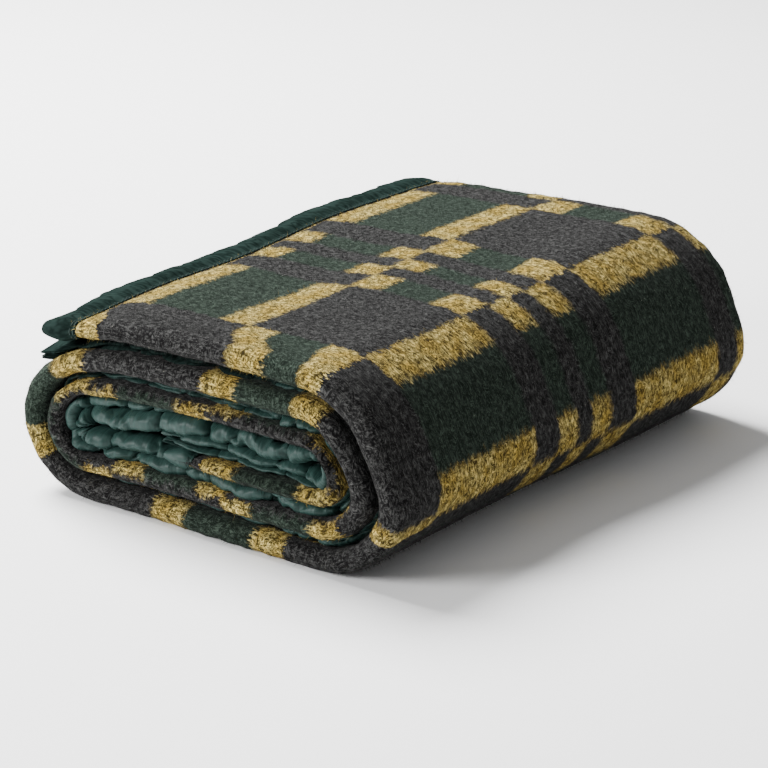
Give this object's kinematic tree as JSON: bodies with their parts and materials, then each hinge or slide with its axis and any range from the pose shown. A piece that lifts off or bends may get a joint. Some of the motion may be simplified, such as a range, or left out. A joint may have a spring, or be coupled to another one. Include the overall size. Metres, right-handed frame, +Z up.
{
  "type": "camp blanket",
  "caption": "Plaid wool camp blanket with a nylon backing and nylon-bound edges, folded lengthwise and rolled into a flat bundle.",
  "frame": {"origin": "centre of the footprint, on the surface that the roll rests on", "axes": "+Z up, +Y along the roll from the end face with the bound edges to the far folded end, +X towards the outermost bend; the flap's free end is at -X"},
  "size_m": [0.3038, 0.3822, 0.133],
  "materials": {
    "charcoal_wool": "fuzzy brushed wool in a charcoal, forest green and mustard block plaid",
    "green_nylon": "smooth dark green nylon taffeta with a soft sheen",
    "green_tape": "folded dark green nylon binding with a soft sheen",
    "green_thread": "dark green sewing thread"
  },
  "bodies": {
    "roll": {"wool_face": "charcoal_wool", "nylon_backing": "green_nylon", "edge_tape_a": "green_tape", "edge_tape_b": "green_tape", "edge_thread_a_top": "green_thread", "edge_thread_a_under": "green_thread", "edge_thread_b_top": "green_thread", "edge_thread_b_under": "green_thread", "inner_end_tape": "green_tape", "inner_end_thread_top": "green_thread", "inner_end_thread_under": "green_thread"},
    "flap": {"wool_face_flap": "charcoal_wool", "nylon_backing_flap": "green_nylon", "edge_tape_a_flap": "green_tape", "edge_tape_b_flap": "green_tape", "edge_thread_a_top_flap": "green_thread", "edge_thread_a_under_flap": "green_thread", "edge_thread_b_top_flap": "green_thread", "edge_thread_b_under_flap": "green_thread", "outer_end_tape": "green_tape", "outer_end_thread_top": "green_thread", "outer_end_thread_under": "green_thread"}
  },
  "joints": [
    {"name": "flap_lift", "type": "hinge", "parent": "roll", "child": "flap", "pos_m": [0.05572, 0, 0.1324], "axis": [0, 1, 0], "range_deg": [0, 60]}
  ]
}
